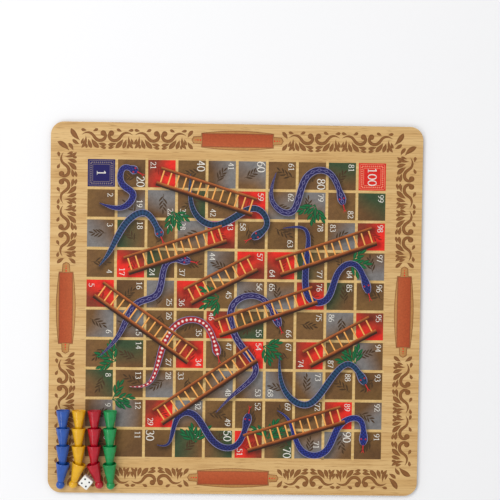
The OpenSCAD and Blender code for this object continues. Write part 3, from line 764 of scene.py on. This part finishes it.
# The track lies on a lattice of cells, counted from the middle of the board.
cell, yard_margin, reverse_level = 23.0, 0.65, -0.05
spot_radius, fill_radius, yard_radius, start_radius = 9.4, 8.6, 7.4, 6.0
spots = np.stack(np.meshgrid(np.arange(-5, 6), np.arange(-5, 6), indexing="ij"), -1).reshape(-1, 2)
near, far = np.abs(spots).min(1), np.abs(spots).max(1)
track = spots[((near == 1) & (far >= 1)) | ((near == 0) & (far == 5))]
home = np.array([(0, -4), (0, -3), (0, -2), (0, -1)])
yard = np.array([(-5, -5), (-4, -5), (-5, -4), (-4, -4)])
start = np.array([-1, -5])
cream, ink_brown = linear("#F1E4C6"), linear("#4E3218")
bands = []
for spot in track:
    bands += [(disc(spot * cell, spot_radius), ink_brown, 1), (disc(spot * cell, fill_radius), cream, 2)]
for side, colour in enumerate(("#2F58B4", "#E8B41E", "#C01C2C", "#1F9654")):
    tint = linear(colour)
    plot_ends = np.array([(-5 - yard_margin, -4.5), (-4 + yard_margin, -4.5)]) * cell
    plot = ribbon(plot_ends, (0.5 + yard_margin) * cell)
    bands.append((turned(plot, 90 * side), tint * 0.75, 0))
    for spot in yard:
        bands += [(turned(disc(spot * cell, spot_radius), 90 * side), cream, 1),
                  (turned(disc(spot * cell, yard_radius), 90 * side), tint, 2)]
    for spot in home:
        bands += [(turned(disc(spot * cell, spot_radius), 90 * side), ink_brown, 1),
                  (turned(disc(spot * cell, fill_radius), 90 * side), tint, 2)]
    bands.append((turned(disc(start * cell, start_radius), 90 * side), tint, 3))
print_piece("printed_race_track", bands, reverse_level, "brown_ink", under=True)
print_piece("printed_back_scrolls", scroll_bands, reverse_level, "scroll_ink", under=True)
print_piece("printed_back_panels", panel_bands, reverse_level, "panel_ink", under=True)


# Pawns: thin-walled polystyrene mouldings with a rounded foot rim, a smooth cone and a ball head. They lie
# on their rims in four nested stacks, each head inside the hollow foot of the next, and the last pawn of a
# stack is swung a little to one side.

foot_radius, rim_height, neck_radius, neck_height = 6.3, 1.0, 2.9, 17.4
head_radius, head_level, wall, nest_gap = 3.9, 20.6, 0.8, 0.4
swing_lead, widest_swing = 1.4, math.radians(16)
near_margin, left_margin, stack_gap, rest_level = 4.0, 8.0, 0.5, 3.55
rim_round, shoulder_round = 0.25, 0.15
cone_slope = (foot_radius - neck_radius) / (neck_height - rim_height)
hollow_foot = foot_radius + cone_slope * rim_height - wall
hollow_top = (neck_height - wall - hollow_foot) / (1 - cone_slope)
hollow_top_radius = hollow_foot - cone_slope * hollow_top
# A nested head goes as deep as the hollow's slope lets it, with room for the swing.
nested_radius = head_radius + nest_gap + swing_lead * math.sin(widest_swing)
nest_depth = (hollow_foot - nested_radius / math.cos(math.atan(cone_slope))) / cone_slope
swing_depth = nest_depth - swing_lead
stack_pitch = 2 * (swing_depth * math.sin(widest_swing) + foot_radius * math.cos(widest_swing)) + stack_gap
first_stack = left_margin + foot_radius - board_half


# Moulded polystyrene: glossy, with flow marks about 5 mm long in its colour and fine scuffs in its gloss.
flow_scale, scuff_scale = 220.0, 1500.0


def moulded_plastic(name, colour, deep):
    """Glossy coloured polystyrene: noise mixes two depths of colour, and finer noise varies the gloss."""
    finish, tree, shader = start_finish(name)
    place = add(tree, "ShaderNodeTexCoord").outputs["Object"]
    flow = add(tree, "ShaderNodeTexNoise", {"Vector": place, "Scale": flow_scale, "Detail": 2.0}).outputs[0]
    share = add(tree, "ShaderNodeMapRange", {"Value": flow, "From Min": 0.3, "From Max": 0.7}).outputs[0]
    hue = add(tree, "ShaderNodeMix", {0: share, 6: deep, 7: colour}, data_type="RGBA")
    tree.links.new(hue.outputs[2], shader.inputs["Base Color"])
    scuffs = add(tree, "ShaderNodeTexNoise", {"Vector": place, "Scale": scuff_scale, "Detail": 3.0})
    gloss = add(tree, "ShaderNodeMapRange", {"Value": scuffs.outputs[0], "To Min": 0.12, "To Max": 0.26})
    tree.links.new(gloss.outputs[0], shader.inputs["Roughness"])
    shader.inputs["Specular IOR Level"].default_value = 0.4
    return finish


def close_poles(made):
    """Merges points in one place, so that the ring at each pole of a turned shape becomes one point."""
    shell = bmesh.new()
    shell.from_mesh(made.data)
    bmesh.ops.remove_doubles(shell, verts=shell.verts, dist=1e-6)
    shell.to_mesh(made.data)
    shell.free()


# Radius and height round a standing pawn: hollow from its crown down, rounded foot, cone, neck and ball.
cone_heights = np.linspace(1.5, 17.16, 24)
profile = np.vstack([
    bow(0, hollow_top, hollow_top_radius, hollow_top_radius, 90, 4),
    bow(hollow_foot + rim_round, rim_round, rim_round, rim_round, 180, 270)[::5],
    bow(foot_radius - rim_round, rim_round, rim_round, rim_round, 270, 360)[::5],
    bow(foot_radius - shoulder_round, rim_height - 0.1, shoulder_round, shoulder_round, 0, 70)[::6],
    np.stack([foot_radius - cone_slope * (cone_heights - rim_height), cone_heights], 1),
    np.array([(-0.04, 0.08), (-0.24, 0.26), (-0.35, 0.36), (-0.3, 0.46)]) + (neck_radius, neck_height),
    bow(0, head_level, head_radius, head_radius, -43, 90),
])
radius, height = profile[:, :1], profile[:, 1:]
around = np.linspace(0, 2 * np.pi, 72, endpoint=False)
pawn = np.stack(np.broadcast_arrays(radius * np.cos(around), radius * np.sin(around), height), -1)

# From the last pawn to the first: it leans on its rim until its head is at the given height, and the head
# of the pawn behind it lies on its axis, inside its foot.
rim_to_head = head_level - rim_height
rim_reach, rim_turn = math.hypot(foot_radius, rim_to_head), math.atan2(rim_to_head, foot_radius)
head_row, head_height = near_margin + head_radius - board_half, head_radius
lies, feet, foot_heights = [], [], []
for order in range(4):
    lie = math.acos(head_height / rim_reach) - rim_turn
    foot_row = head_row + head_level * math.cos(lie)
    foot_height = foot_radius * math.cos(lie) + rim_height * math.sin(lie)
    lies.insert(0, lie)
    feet.insert(0, foot_row)
    foot_heights.insert(0, foot_height)
    head_row = foot_row - nest_depth * math.cos(lie)
    head_height = foot_height - nest_depth * math.sin(lie)

pawn_plastics = {
    "blue": (moulded_plastic("blue_polystyrene", "#2A58AE", "#234D9C"), -7),
    "yellow": (moulded_plastic("yellow_polystyrene", "#EBB31C", "#DCA212"), -16),
    "red": (moulded_plastic("red_polystyrene", "#BC1026", "#A60C20"), 16),
    "green": (moulded_plastic("green_polystyrene", "#129650", "#0C8443"), 3),
}
for stack, (colour, (plastic, swing)) in enumerate(pawn_plastics.items()):
    for order in range(4):
        tilt = math.pi / 2 + lies[order]
        row = feet[order] - swing_depth * math.cos(lies[order])
        flat = np.stack([pawn[..., 0], pawn[..., 1] * math.cos(tilt) - pawn[..., 2] * math.sin(tilt)], -1)
        rise = pawn[..., 1] * math.sin(tilt) + pawn[..., 2] * math.cos(tilt)
        rise = rise + foot_heights[order] + rest_level
        flat = turned(flat + (0, feet[order] - row), swing if order == 3 else 0)
        laid = np.concatenate([flat + (first_stack + stack * stack_pitch, row), rise[..., None]], -1)
        name = f"pawn_{colour}_{order + 1}"
        faces = grid_faces(*laid.shape[:2], closed=True)[:, ::-1]
        piece = make_mesh("moulded_" + name, laid.reshape(-1, 3), faces)
        close_poles(piece)
        piece.data.shade_smooth()
        piece.data.materials.append(plastic)
        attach(piece, name)
        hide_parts(name)


# The die: a white polystyrene cube moulded with rounded edges and corners and with sunk pips, one to six.
# Black paint is wiped into the pips, and it dries matt with faint brush marks about 1 mm wide.

brush_scale = 900.0
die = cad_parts["die"]
die.data.materials.clear()
die.data.materials.append(moulded_plastic("white_polystyrene", "#F4F3EE", "#EBE9E2"))
black_paint, tree, shader = start_finish("black_pip_paint")
place = add(tree, "ShaderNodeTexCoord").outputs["Object"]
brush = add(tree, "ShaderNodeTexNoise", {"Vector": place, "Scale": brush_scale, "Detail": 2.0}).outputs[0]
tone = add(tree, "ShaderNodeMix", {0: brush, 6: "#0C0C0D", 7: "#1E1E20"}, data_type="RGBA")
tree.links.new(tone.outputs[2], shader.inputs["Base Color"])
shader.inputs["Roughness"].default_value = 0.55
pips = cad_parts["die_pips"]
pips.data.materials.clear()
pips.data.materials.append(black_paint)


low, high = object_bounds()
